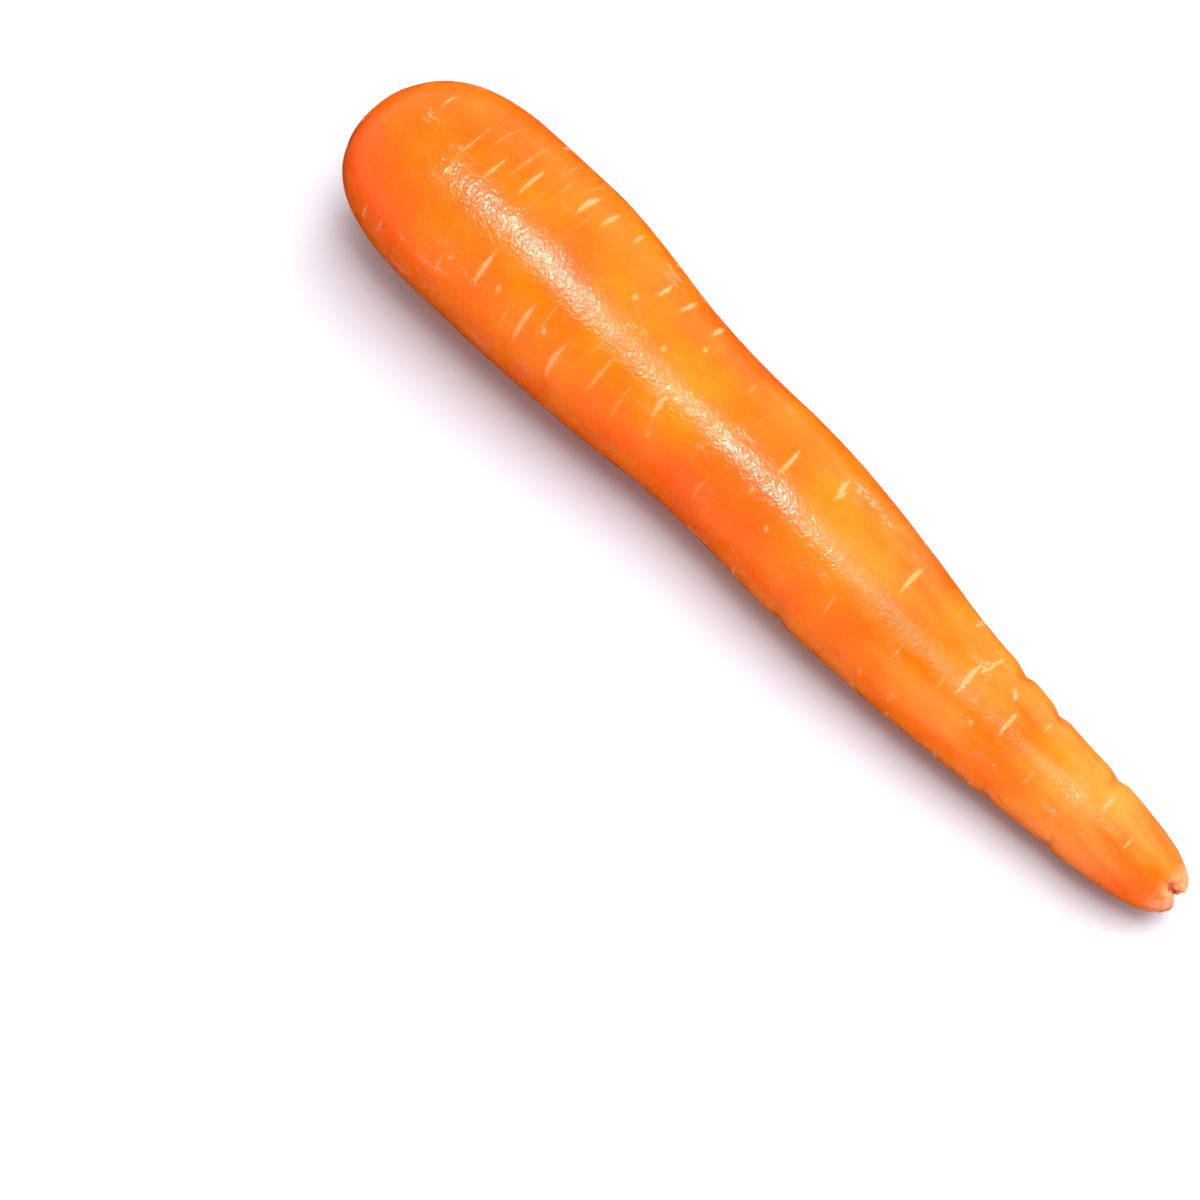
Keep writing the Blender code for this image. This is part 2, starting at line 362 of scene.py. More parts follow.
def skinTree():
    sizes = {title: "Int" if title in ("Rings", "Sides") else "Float" for title in skinInputs}
    tree = newTree("rootSkin", {"Profile": "Object", "Scars": "Object", "Shift": "Vector", **sizes,
                                "Material": "Material"})
    add = partial(addNode, tree)
    given = add("NodeGroupInput").outputs

    # where each grid point sits: along the outline, and round the root from underneath
    grid = add("GeometryNodeMeshGrid", 1.0, 1.0, given["Rings"], given["Sides"])
    flat = add("ShaderNodeSeparateXYZ", add("GeometryNodeInputPosition"))
    outlineShare = add("ShaderNodeMath.ADD", flat.outputs[0], 0.5)
    turnShare = add("ShaderNodeMath.ADD", flat.outputs[1], 0.25)
    turn = add("ShaderNodeMath.MULTIPLY", turnShare, math.tau)
    profile = add("GeometryNodeObjectInfo", given["Profile"])
    outline = add("GeometryNodeMeshToCurve", profile.outputs["Geometry"])
    middleField = add("GeometryNodeInputNamedAttribute", "middle", data_type="FLOAT_VECTOR")
    sample = add("GeometryNodeSampleCurve", mode="FACTOR", data_type="FLOAT_VECTOR", use_all_curves=True,
                 into={"Curves": outline, "Value": middleField, "Factor": outlineShare})
    place = add("ShaderNodeSeparateXYZ", sample.outputs["Position"])
    middle = add("ShaderNodeSeparateXYZ", sample.outputs[0])
    x, plainRadius = place.outputs[0], place.outputs[1]
    scarShare, side, height = middle.outputs[0], middle.outputs[1], middle.outputs[2]
    along = add("ShaderNodeMath.DIVIDE", x, root["length"])
    cosTurn = add("ShaderNodeMath.COSINE", turn)
    sinTurn = add("ShaderNodeMath.SINE", turn)

    # the plain surface, which noise and distances are read on
    wide = add("ShaderNodeMath.MULTIPLY", plainRadius, cosTurn)
    tall = add("ShaderNodeMath.MULTIPLY", plainRadius, sinTurn)
    tall = add("ShaderNodeMath.MULTIPLY", tall, root["ovality"])
    upright = add("ShaderNodeMapRange", along, 0.0, root["leanEnd"], root["crownLean"], 0.0,
                  interpolation_type="SMOOTHSTEP")
    leaning = add("ShaderNodeMath.MULTIPLY_ADD", wide, upright, x)
    onPlain = add("ShaderNodeCombineXYZ", leaning, wide, tall)
    plain = add("ShaderNodeVectorMath.ADD", onPlain, add("ShaderNodeCombineXYZ", 0.0, side, height))
    outside = add("ShaderNodeMapRange", scarShare, 1.02, 1.5, 0.0, 1.0, interpolation_type="SMOOTHSTEP")
    tailward = add("ShaderNodeMapRange", along, 0.52, 0.85, 0.25, 1.0, interpolation_type="SMOOTHSTEP")

    # long ridges
    swell = None
    for count, share, start, twist in root["ridges"]:
        lag = add("ShaderNodeMath.MULTIPLY_ADD", along, math.radians(-twist), math.radians(-start))
        wave = add("ShaderNodeMath.MULTIPLY", add("ShaderNodeMath.ADD", turn, lag), count)
        wave = add("ShaderNodeMath.COSINE", wave)
        term = add("ShaderNodeMath.MULTIPLY", add("ShaderNodeMath.MULTIPLY", wave, share), plainRadius)
        swell = term if swell is None else add("ShaderNodeMath.ADD", swell, term)

    # lumps, dimples, cross wrinkles and long grooves, each as wide as its real size
    often = add("ShaderNodeMath.DIVIDE", 1.0, given["Lump Size"])
    lumps = add("ShaderNodeTexNoise", plain, often, 1.0)
    lumps = add("ShaderNodeMath.SUBTRACT", lumps, 0.5)
    swell = add("ShaderNodeMath.MULTIPLY_ADD", lumps, given["Lump Height"], swell)
    often = add("ShaderNodeMath.DIVIDE", 1.0, given["Dimple Size"])
    dimples = add("ShaderNodeTexNoise", plain, often, 2.0)
    dimples = add("ShaderNodeMath.SUBTRACT", dimples, 0.5)
    swell = add("ShaderNodeMath.MULTIPLY_ADD", dimples, given["Dimple Height"], swell)
    ringwise = add("ShaderNodeVectorMath.MULTIPLY", plain, (1.0, 0.16, 0.16))
    often = add("ShaderNodeMath.DIVIDE", 1.0, given["Wrinkle Size"])
    wrinkles = add("ShaderNodeTexNoise", ringwise, often, 2.0)
    wrinkles = add("ShaderNodeMath.SUBTRACT", wrinkles, 0.5)
    swell = add("ShaderNodeMath.MULTIPLY_ADD", wrinkles, given["Wrinkle Height"], swell)
    lengthwise = add("ShaderNodeVectorMath.MULTIPLY", plain, (0.16, 1.0, 1.0))
    often = add("ShaderNodeMath.DIVIDE", 1.0, given["Groove Size"])
    grooves = add("ShaderNodeTexNoise", lengthwise, often, 1.0)
    grooves = add("ShaderNodeMath.MULTIPLY", add("ShaderNodeMath.SUBTRACT", grooves, 0.5), tailward)
    swell = add("ShaderNodeMath.MULTIPLY_ADD", grooves, given["Groove Height"], swell)

    # cross creases: a narrow cut between two soft swellings
    waver = add("ShaderNodeTexNoise", plain, 260.0, 1.0)
    waver = add("ShaderNodeMath.MULTIPLY_ADD", waver, 0.012, -0.006)
    creaseMask = None
    for spot, direction, depth, width, reach in root["creases"]:
        off = add("ShaderNodeMath.SUBTRACT", turn, math.radians(direction))
        off = add("ShaderNodeMath.WRAP", off, math.pi, -math.pi)
        off = add("ShaderNodeMath.DIVIDE", off, math.radians(reach))
        gap = add("ShaderNodeMath.ADD", add("ShaderNodeMath.SUBTRACT", along, spot), waver)
        gap = add("ShaderNodeMath.MULTIPLY", gap, root["length"] / width)
        round2 = add("ShaderNodeMath.MULTIPLY", off, off)
        near2 = add("ShaderNodeMath.MULTIPLY", gap, gap)
        cut = add("ShaderNodeMath.MULTIPLY", add("ShaderNodeMath.ADD", round2, near2), -1.0)
        cut = add("ShaderNodeMath.EXPONENT", cut)
        broad = add("ShaderNodeMath.MULTIPLY", round2, -1.0)
        broad = add("ShaderNodeMath.MULTIPLY_ADD", near2, -skin["creaseSpread"], broad)
        lift = add("ShaderNodeMath.EXPONENT", broad)
        lift = add("ShaderNodeMath.MULTIPLY", lift, skin["creaseLift"] * depth)
        swell = add("ShaderNodeMath.MULTIPLY_ADD", cut, -skin["creaseCut"] * depth, swell)
        swell = add("ShaderNodeMath.ADD", swell, lift)
        creaseMask = cut if creaseMask is None else add("ShaderNodeMath.MAXIMUM", creaseMask, cut)

    # cross scars: sunken, with a faint lip
    wires = add("GeometryNodeObjectInfo", given["Scars"]).outputs["Geometry"]
    near = add("GeometryNodeProximity", target_element="EDGES",
               into={"Geometry": wires, "Sample Position": plain})
    nearest = add("GeometryNodeSampleNearest", wires, plain, domain="POINT")
    halfField = add("GeometryNodeInputNamedAttribute", "halfWidth", data_type="FLOAT")
    paleField = add("GeometryNodeInputNamedAttribute", "pale", data_type="FLOAT")
    half = add("GeometryNodeSampleIndex", data_type="FLOAT", domain="POINT",
               into={"Geometry": wires, "Value": halfField, "Index": nearest})
    pale = add("GeometryNodeSampleIndex", data_type="FLOAT", domain="POINT",
               into={"Geometry": wires, "Value": paleField, "Index": nearest})
    half = add("ShaderNodeMath.MAXIMUM", half, skin["leastScar"])
    away = add("ShaderNodeMath.DIVIDE", near.outputs["Distance"], half)
    core = add("ShaderNodeMapRange", away, 0.5, 1.7, 1.0, 0.0, interpolation_type="SMOOTHSTEP")
    lip = add("ShaderNodeMapRange", away, 1.2, 3.4, 1.0, 0.0, interpolation_type="SMOOTHSTEP")
    core = add("ShaderNodeMath.MULTIPLY", core, pale)
    lip = add("ShaderNodeMath.MULTIPLY", lip, pale)
    dent = add("ShaderNodeMath.MULTIPLY", core, given["Scar Dent"])
    swell = add("ShaderNodeMath.MULTIPLY_ADD", lip, given["Scar Lip"], swell)
    swell = add("ShaderNodeMath.SUBTRACT", swell, dent)
    swell = add("ShaderNodeMath.MULTIPLY", swell, outside)

    # the dish of the crown: long fibres that run out from its middle, over broken rings
    spokes = add("ShaderNodeCombineXYZ", add("ShaderNodeMath.MULTIPLY", cosTurn, 7.0),
                 add("ShaderNodeMath.MULTIPLY", sinTurn, 7.0),
                 add("ShaderNodeMath.MULTIPLY", scarShare, 3.0))
    rays = add("ShaderNodeMath.SUBTRACT", add("ShaderNodeTexNoise", spokes, 1.6, 3.0), 0.5)
    clods = add("ShaderNodeMath.SUBTRACT", add("ShaderNodeTexNoise", plain, 900.0, 2.0), 0.5)
    inDish = add("ShaderNodeMapRange", scarShare, 0.93, 1.04, 1.0, 0.0, interpolation_type="SMOOTHSTEP")
    offHeart = add("ShaderNodeMapRange", scarShare, 0.0, 0.25, 0.0, 1.0, interpolation_type="SMOOTHSTEP")
    rough = add("ShaderNodeMath.MULTIPLY", add("ShaderNodeMath.ADD", rays, clods), inDish)
    sink = add("ShaderNodeMath.MULTIPLY", rough, offHeart)
    sink = add("ShaderNodeMath.MULTIPLY", sink, given["Fibre Height"])
    rim = add("ShaderNodeMath.MULTIPLY", add("ShaderNodeMath.SUBTRACT", scarShare, 1.03), 11.0)
    rim = add("ShaderNodeMath.MULTIPLY", rim, rim)
    rim = add("ShaderNodeMath.EXPONENT", add("ShaderNodeMath.MULTIPLY", rim, -1.0))
    sink = add("ShaderNodeMath.MULTIPLY_ADD", rim, -skin["rimDip"], sink)

    # the broken tip: a cleft across the end and a torn edge
    cleftWay = add("ShaderNodeMath.SUBTRACT", turn, math.radians(skin["cleftTurn"]))
    cleftWay = add("ShaderNodeMath.SINE", cleftWay)
    across = add("ShaderNodeMath.MULTIPLY", cleftWay, plainRadius)
    ragged = add("ShaderNodeMath.SUBTRACT", add("ShaderNodeTexNoise", plain, 700.0, 2.0), 0.5)
    across = add("ShaderNodeMath.MULTIPLY_ADD", ragged, skin["cleftWander"], across)
    across = add("ShaderNodeMath.ADD", across, skin["cleftOff"])
    across = add("ShaderNodeMath.DIVIDE", across, given["Cleft Width"])
    cleft = add("ShaderNodeMath.MULTIPLY", across, across)
    cleft = add("ShaderNodeMath.EXPONENT", add("ShaderNodeMath.MULTIPLY", cleft, -1.0))
    atTip = add("ShaderNodeMapRange", along, 0.975, 0.996, 0.0, 1.0, interpolation_type="SMOOTHSTEP")
    cleft = add("ShaderNodeMath.MULTIPLY", cleft, atTip)
    tear = add("ShaderNodeMath.MULTIPLY", ragged, atTip)
    pull = add("ShaderNodeMath.MULTIPLY", cleft, given["Cleft Depth"])
    pull = add("ShaderNodeMath.MULTIPLY_ADD", tear, given["Tear Height"], pull)

    # put it together, lay it down and press the narrow flat that it rests on
    radius = add("ShaderNodeMath.ADD", plainRadius, swell)
    reachX = add("ShaderNodeMath.SUBTRACT", add("ShaderNodeMath.ADD", leaning, sink), pull)
    reachY = add("ShaderNodeMath.MULTIPLY_ADD", radius, cosTurn, side)
    reachZ = add("ShaderNodeMath.MULTIPLY", radius, sinTurn)
    reachZ = add("ShaderNodeMath.MULTIPLY", reachZ, root["ovality"])
    laid = add("ShaderNodeCombineXYZ", reachX, reachY, add("ShaderNodeMath.ADD", reachZ, height))
    laid = add("ShaderNodeVectorMath.ADD", laid, given["Shift"])
    parts = add("ShaderNodeSeparateXYZ", laid)
    pressed = add("ShaderNodeMath.MAXIMUM", parts.outputs[2], 0.0)
    final = add("ShaderNodeCombineXYZ", parts.outputs[0], parts.outputs[1], pressed)

    # what the material reads at each point
    shape = grid.outputs["Mesh"]
    for title, vector in (
        ("rootPlace", (along, scarShare, atTip)),
        ("rootMarks", (core, creaseMask, cleft)),
        ("rootRound", (cosTurn, sinTurn, lip)),
    ):
        packed = add("ShaderNodeCombineXYZ", *vector)
        shape = add("GeometryNodeStoreNamedAttribute", shape, None, title, packed,
                    data_type="FLOAT_VECTOR", domain="POINT")
    shape = add("GeometryNodeSetPosition", into={"Geometry": shape, "Position": final})
    shape = add("GeometryNodeMergeByDistance", into={"Geometry": shape, "Distance": skin["weld"]})
    shape = add("GeometryNodeRealizeInstances", shape)
    shape = add("GeometryNodeSetMaterial", shape, None, given["Material"])
    add("NodeGroupOutput", shape)
    return tree


def growSkin(profile, wires, material):
    values = {title: skin[key] for title, key in skinInputs.items()}
    values.update({"Profile": profile, "Scars": wires, "Shift": shift, "Material": material})
    return growPiece("carrotRoot", skinTree(), values)


# Colours of the skin, of its scars and of the crown's cut face.
paint = {
    "deep": "#FC5A00",
    "bright": "#FF7600",
    "blush": "#F85800",
    "bloom": "#FF9A48",
    "scuff": "#FFB494",
    "scar": "#FF914E",
    "scarGrain": "#FFA684",
    "creaseShade": "#D85000",
    "torn": "#FFA878",
    "cleftShade": "#B43A08",
    "crownFibre": "#EFE3C6",
    "crownSpot": "#A0641C",
    "crownRim": "#FFA468",
}
hue = {name: hexColour(text) for name, text in paint.items()}

# Out from the middle of the crown's scar: share of its radius and colour. The last, dark brown ring at the edge
# is painted shade of the gap under the rim.
crownRings = (
    (0.00, "#F08A3C"), (0.27, "#F2944C"), (0.36, "#EBB894"), (0.46, "#E6CDB4"), (0.58, "#CDBE8C"),
    (0.68, "#98A052"), (0.80, "#7C8644"), (0.87, "#A09678"), (0.94, "#B79C8A"), (1.00, "#8A5A38"),
)

# Sizes of the skin's patterns, and the heights of its finest relief, in metres.
pattern = {
    "cloud": 0.025,
    "mottle": 0.004,
    "hoop": 0.0013,
    "bloomStreak": 0.0052,
    "grain": 0.0005,
    "rub": 0.0042,
    "fray": 0.0012,
    "wear": 0.0048,
    "pebble": 0.0008,
    "pebbleHeight": 0.00005,
    "grit": 0.0006,
    "gritHeight": 0.00009,
    "crownPatch": 0.0035,
    "crownClod": 0.0009,
    "crownSpot": 0.0022,
}


def crownColour(add, here, scarShare, cosTurn, sinTurn):
    # the rings of the cut face, the dark outer one painted shade, each broken up by fibres that run out from
    # the middle
    spokes = add("ShaderNodeCombineXYZ", add("ShaderNodeMath.MULTIPLY", cosTurn, 6.0),
                 add("ShaderNodeMath.MULTIPLY", sinTurn, 6.0),
                 add("ShaderNodeMath.MULTIPLY", scarShare, 2.0))
    rays = add("ShaderNodeTexNoise", spokes, 2.6, 4.0)
    patches = add("ShaderNodeTexNoise", here, 1 / pattern["crownPatch"], 2.0)
    clods = add("ShaderNodeTexNoise", here, 1 / pattern["crownClod"], 3.0)
    spread = add("ShaderNodeMath.ADD", add("ShaderNodeMath.MULTIPLY_ADD", patches, 0.34, -0.17),
                 add("ShaderNodeMath.MULTIPLY_ADD", rays, 0.30, -0.15))
    ringPlace = add("ShaderNodeMath.ADD", scarShare, spread)
    ramp = add("ShaderNodeValToRGB", ringPlace)
    stops = ramp.color_ramp.elements
    for place, colour in crownRings[2:]:
        stops.new(place)
    for stop, (place, colour) in zip(stops, crownRings):
        stop.position = place
        stop.color = hexColour(colour)
    pale = add("ShaderNodeMapRange", clods, 0.52, 0.72, 0.0, 0.75)
    ringed = add("ShaderNodeMix", pale, ramp.outputs["Color"], hue["crownFibre"], data_type="RGBA")
    spots = add("ShaderNodeTexNoise", here, 1 / pattern["crownSpot"], 1.0)
    spots = add("ShaderNodeMapRange", spots, 0.66, 0.74, 0.0, 0.8)
    return add("ShaderNodeMix", spots, ringed, hue["crownSpot"], data_type="RGBA")


def skinMaterial():
    # Washed carrot skin, machine topped: moist and glossy over fine pebbly cells, deep orange, crossed by
    # corky pore scars, with a dry pale bloom towards the tail.
    material = bpy.data.materials.new("washedCarrotSkin")
    material.use_nodes = True
    tree = material.node_tree
    tree.nodes.clear()
    add = partial(addNode, tree)
    here = add("ShaderNodeTexCoord").outputs["Object"]
    stored = [add("ShaderNodeSeparateXYZ", add("ShaderNodeAttribute", attribute_name=title).outputs["Vector"])
              for title in ("rootPlace", "rootMarks", "rootRound")]
    along, scarShare, atTip = stored[0].outputs
    core, crease, cleft = stored[1].outputs
    cosTurn, sinTurn, halo = stored[2].outputs

    # orange in soft clouds of 25 mm, mottled every 4 mm, with faint lines round the root
    clouds = add("ShaderNodeTexNoise", here, 1 / pattern["cloud"], 2.0)
    clouds = add("ShaderNodeMapRange", clouds, 0.36, 0.64, 0.0, 1.0)
    colour = add("ShaderNodeMix", clouds, hue["deep"], hue["bright"], data_type="RGBA")
    mottle = add("ShaderNodeTexNoise", here, 1 / pattern["mottle"], 3.0)
    mottle = add("ShaderNodeMapRange", mottle, 0.45, 0.75, 0.0, 0.40)
    colour = add("ShaderNodeMix", mottle, colour, hue["blush"], data_type="RGBA")
    hoops = add("ShaderNodeVectorMath.MULTIPLY", here, (1.0, 0.10, 0.10))
    hoops = add("ShaderNodeTexNoise", hoops, 1 / pattern["hoop"], 2.0)
    hoops = add("ShaderNodeMapRange", hoops, 0.58, 0.80, 0.0, 0.14)
    colour = add("ShaderNodeMix", hoops, colour, hue["scar"], data_type="RGBA")

    # dry bloom in streaks along the root, from the middle to the tail
    dry = add("ShaderNodeMapRange", along, 0.40, 0.90, 0.03, 0.40, interpolation_type="SMOOTHSTEP")
    streaked = add("ShaderNodeVectorMath.MULTIPLY", here, (0.22, 1.0, 1.0))
    patchy = add("ShaderNodeTexNoise", streaked, 1 / pattern["bloomStreak"], 4.0)
    patchy = add("ShaderNodeMapRange", patchy, 0.40, 0.66, 0.0, 1.0)
    bloom = add("ShaderNodeMath.MULTIPLY", dry, patchy)
    colour = add("ShaderNodeMix", bloom, colour, hue["bloom"], data_type="RGBA")

    # whitish scuffs from washing and rubbing, in broken grainy patches drawn out along the root
    grain = add("ShaderNodeTexNoise", here, 1 / pattern["grain"], 2.0)
    drawn = add("ShaderNodeVectorMath.MULTIPLY", here, (0.45, 1.0, 1.0))
    rubbed = add("ShaderNodeTexNoise", drawn, 1 / pattern["rub"], 3.0)
    rubbed = add("ShaderNodeMapRange", rubbed, 0.60, 0.72, 0.0, 1.0)
    flecks = add("ShaderNodeMapRange", grain, 0.50, 0.60, 0.0, 0.62)
    scuff = add("ShaderNodeMath.MULTIPLY", add("ShaderNodeMath.MULTIPLY", rubbed, flecks), rubbed)
    colour = add("ShaderNodeMix", scuff, colour, hue["scuff"], data_type="RGBA")

    # cross scars: a faint halo, a pale corky core and whitish grains in it
    haze = add("ShaderNodeMath.MULTIPLY", halo, 0.22)
    colour = add("ShaderNodeMix", haze, colour, hue["scar"], data_type="RGBA")
    cork = add("ShaderNodeMath.ADD", core, add("ShaderNodeMath.MULTIPLY_ADD", grain, 0.24, -0.12))
    cork = add("ShaderNodeMapRange", cork, 0.06, 0.55, 0.0, 0.9, interpolation_type="SMOOTHSTEP")
    cork = add("ShaderNodeMath.MULTIPLY", cork, add("ShaderNodeMapRange", core, 0.01, 0.12, 0.0, 1.0))
    colour = add("ShaderNodeMix", cork, colour, hue["scar"], data_type="RGBA")
    grains = add("ShaderNodeMath.MULTIPLY", add("ShaderNodeMapRange", grain, 0.52, 0.62, 0.0, 0.9), cork)
    colour = add("ShaderNodeMix", grains, colour, hue["scarGrain"], data_type="RGBA")

    # painted shade darkens the creases, and the torn tip is pale with a cleft darkened by painted shade
    creaseShadeMask = add("ShaderNodeMapRange", crease, 0.35, 0.95, 0.0, 0.4)
    colour = add("ShaderNodeMix", creaseShadeMask, colour, hue["creaseShade"], data_type="RGBA")
    frayed = add("ShaderNodeTexNoise", here, 1 / pattern["fray"], 3.0)
    frayed = add("ShaderNodeMapRange", frayed, 0.32, 0.52, 0.0, 0.9)
    torn = add("ShaderNodeMath.MULTIPLY", atTip, frayed)
    colour = add("ShaderNodeMix", torn, colour, hue["torn"], data_type="RGBA")
    # painted shade in the hollow of the cleft
    depth = add("ShaderNodeMapRange", cleft, 0.55, 0.95, 0.0, 0.8)
    colour = add("ShaderNodeMix", depth, colour, hue["cleftShade"], data_type="RGBA")

    # the crown's cut face and the pale line round it
    rim = add("ShaderNodeMapRange", scarShare, 1.0, 1.12, 0.7, 0.0)
    colour = add("ShaderNodeMix", rim, colour, hue["crownRim"], data_type="RGBA")
    inside = add("ShaderNodeMapRange", scarShare, 0.97, 1.02, 1.0, 0.0)
    face = crownColour(add, here, scarShare, cosTurn, sinTurn)
    colour = add("ShaderNodeMix", inside, colour, face, data_type="RGBA")

    # gloss: smooth and moist, duller on cork, bloom and cut face
    worn = add("ShaderNodeTexNoise", here, 1 / pattern["wear"], 3.0)
    worn = add("ShaderNodeMapRange", worn, 0.42, 0.62, 0.20, 0.36)
    gloss = add("ShaderNodeMath.MULTIPLY_ADD", cork, 0.25, worn)
    gloss = add("ShaderNodeMath.MULTIPLY_ADD", bloom, 0.30, gloss)
    gloss = add("ShaderNodeMath.MULTIPLY_ADD", inside, 0.35, gloss)
    gloss = add("ShaderNodeMath.MULTIPLY_ADD", scuff, 0.30, gloss)

    # relief of the cells: 0.8 mm pebbles and 0.6 mm grit, a little coarser than real ones so that it shows
    pebbles = add("ShaderNodeTexVoronoi", here, 1 / pattern["pebble"], feature="SMOOTH_F1")
    pebbles = add("ShaderNodeMath.MULTIPLY", pebbles.outputs["Distance"], pattern["pebbleHeight"])
    grit = add("ShaderNodeTexNoise", here, 1 / pattern["grit"], 2.0)
    relief = add("ShaderNodeMath.MULTIPLY_ADD", grit, pattern["gritHeight"], pebbles)
    bump = add("ShaderNodeBump", into={"Distance": 1.0, "Height": relief})

    shader = add("ShaderNodeBsdfPrincipled", into={
        "Base Color": colour, "Roughness": gloss, "Normal": bump, "IOR": 1.30,
        "Subsurface Weight": 0.10, "Subsurface Radius": (1.0, 0.30, 0.05), "Subsurface Scale": 0.002,
        "Coat Weight": 0.45, "Coat Roughness": 0.05, "Coat IOR": 1.33, "Coat Normal": bump,
    })
    add("ShaderNodeOutputMaterial", shader)
    print("skin material ready")
    return material


# Torn ends of the leaf stalks' fibres, lying on the crown's cut face.
fibres = {
    "count": 420,
    "spread": 0.0066,
    "nearest": 0.30,  # none stands nearer the middle than this share of the spread
    "length": (0.0007, 0.0022),
    "slimness": 0.045,  # half width as a share of the length
    "lift": 0.45,
    "stray": 1.1,  # radians off the straight way out
    "bow": ((0.0, 0.0, 0.0), (0.5, 0.0, 0.22), (1.0, 0.0, 0.10)),  # start, middle handle and end
    "dropFrom": -0.012,  # metres along the root, outside the crown
    "dropLength": 0.03,
    "streak": 0.0004,
    "streakHeight": 0.00004,
    "seed": 11,
    "colours": ((0.0, "#8C8A4C"), (0.35, "#C9BE8E"), (0.7, "#E9DCC4"), (1.0, "#C08E5E")),
}


def fibreTree():
    tree = newTree("crownFibres", {
        "Skin": "Object", "Middle": "Vector", "Count": "Int", "Spread": "Float", "Slimness": "Float",
        "Lift": "Float", "Seed": "Int", "Material": "Material",
    })
    add = partial(addNode, tree)
    given = add("NodeGroupInput").outputs

    # one strand of unit length, bowed and tapered
    bow = add("GeometryNodeCurveQuadraticBezier", 4, *fibres["bow"])
    taper = add("ShaderNodeMath.MULTIPLY_ADD", add("GeometryNodeSplineParameter"), -0.75, 1.0)
    bow = add("GeometryNodeSetCurveRadius", bow, None, taper)
    ring = add("GeometryNodeCurvePrimitiveCircle", 4, into={"Radius": given["Slimness"]})
    strand = add("GeometryNodeCurveToMesh", bow, ring, into={"Fill Caps": True})

    # roots of the strands, dropped onto the cut face
    far = add("FunctionNodeRandomValue", data_type="FLOAT", into={
        "Min": fibres["nearest"], "Max": 1.0, "Seed": given["Seed"]})
    reach = add("ShaderNodeMath.MULTIPLY", far, given["Spread"])
    turn = add("FunctionNodeRandomValue", data_type="FLOAT", into={
        "Min": 0.0, "Max": math.tau, "Seed": add("ShaderNodeMath.ADD", given["Seed"], 1.0)})
    sideways = add("ShaderNodeMath.MULTIPLY", add("ShaderNodeMath.COSINE", turn), reach)
    upwards = add("ShaderNodeMath.MULTIPLY", add("ShaderNodeMath.SINE", turn), reach)
    start = add("ShaderNodeCombineXYZ", 0.0, sideways, upwards)
    start = add("ShaderNodeVectorMath.ADD", start, given["Middle"])
    points = add("GeometryNodePoints", given["Count"], start)
    target = add("GeometryNodeObjectInfo", given["Skin"]).outputs["Geometry"]
    cast = add("GeometryNodeRaycast", into={
        "Target Geometry": target, "Source Position": add("GeometryNodeInputPosition"),
        "Ray Direction": (1.0, 0.0, 0.0), "Ray Length": fibres["dropLength"]})
    points = add("GeometryNodeSetPosition", points, None, cast.outputs["Hit Position"])

    # each one leans outwards, a little off the straight way, and is lifted off the face
    stray = add("FunctionNodeRandomValue", data_type="FLOAT", into={
        "Min": -fibres["stray"], "Max": fibres["stray"], "Seed": add("ShaderNodeMath.ADD", given["Seed"], 2.0)})
    rise = add("FunctionNodeRandomValue", data_type="FLOAT", into={
        "Min": 0.0, "Max": given["Lift"], "Seed": add("ShaderNodeMath.ADD", given["Seed"], 3.0)})
    way = add("ShaderNodeMath.ADD", turn, stray)
    way = add("ShaderNodeCombineXYZ", add("ShaderNodeMath.MULTIPLY", rise, -1.0),
              add("ShaderNodeMath.COSINE", way), add("ShaderNodeMath.SINE", way))
    facing = add("FunctionNodeAlignRotationToVector", into={"Vector": way}, axis="X")
    size = add("FunctionNodeRandomValue", data_type="FLOAT", into={
        "Min": fibres["length"][0], "Max": fibres["length"][1],
        "Seed": add("ShaderNodeMath.ADD", given["Seed"], 4.0)})
    tone = add("FunctionNodeRandomValue", data_type="FLOAT", into={
        "Min": 0.0, "Max": 1.0, "Seed": add("ShaderNodeMath.ADD", given["Seed"], 5.0)})
    points = add("GeometryNodeStoreNamedAttribute", points, None, "strandTone", tone,
                 data_type="FLOAT", domain="POINT")
    strands = add("GeometryNodeInstanceOnPoints", into={
        "Points": points, "Instance": strand, "Rotation": facing, "Scale": size})
    strands = add("GeometryNodeRealizeInstances", strands)
    strands = add("GeometryNodeSetMaterial", strands, None, given["Material"])
    add("NodeGroupOutput", strands)
    return tree


def fibreMaterial():
    # Dried leaf-base fibre, torn by topping: matt straw to olive strands.
    material = bpy.data.materials.new("driedStalkFibre")
    material.use_nodes = True
    tree = material.node_tree
    tree.nodes.clear()
    add = partial(addNode, tree)
    tone = add("ShaderNodeAttribute", attribute_name="strandTone").outputs["Fac"]
    here = add("ShaderNodeTexCoord").outputs["Object"]
    streaks = add("ShaderNodeTexNoise", here, 1 / fibres["streak"], 2.0)
    tone = add("ShaderNodeMath.MULTIPLY_ADD", streaks, 0.3, add("ShaderNodeMath.SUBTRACT", tone, 0.15))
    ramp = add("ShaderNodeValToRGB", tone)
    stops = ramp.color_ramp.elements
    for place, colour in fibres["colours"][2:]:
        stops.new(place)
    for stop, (place, colour) in zip(stops, fibres["colours"]):
        stop.position = place
        stop.color = hexColour(colour)
    relief = add("ShaderNodeMath.MULTIPLY", streaks, fibres["streakHeight"])
    bump = add("ShaderNodeBump", into={"Distance": 1.0, "Height": relief})
    shader = add("ShaderNodeBsdfPrincipled", into={
        "Base Color": ramp.outputs["Color"], "Roughness": 0.72, "Normal": bump, "IOR": 1.45})
    add("ShaderNodeOutputMaterial", shader)
    print("fibre material ready")
    return material


def growFibres(skinPiece, material):
    side, height = middleLine(0.0)
    middle = Vector((fibres["dropFrom"], side, height)) + shift
    values = {"Skin": skinPiece, "Middle": middle, "Count": fibres["count"], "Spread": fibres["spread"],
              "Slimness": fibres["slimness"], "Lift": fibres["lift"], "Seed": fibres["seed"],
              "Material": material}
    return growPiece("crownFibres", fibreTree(), values)


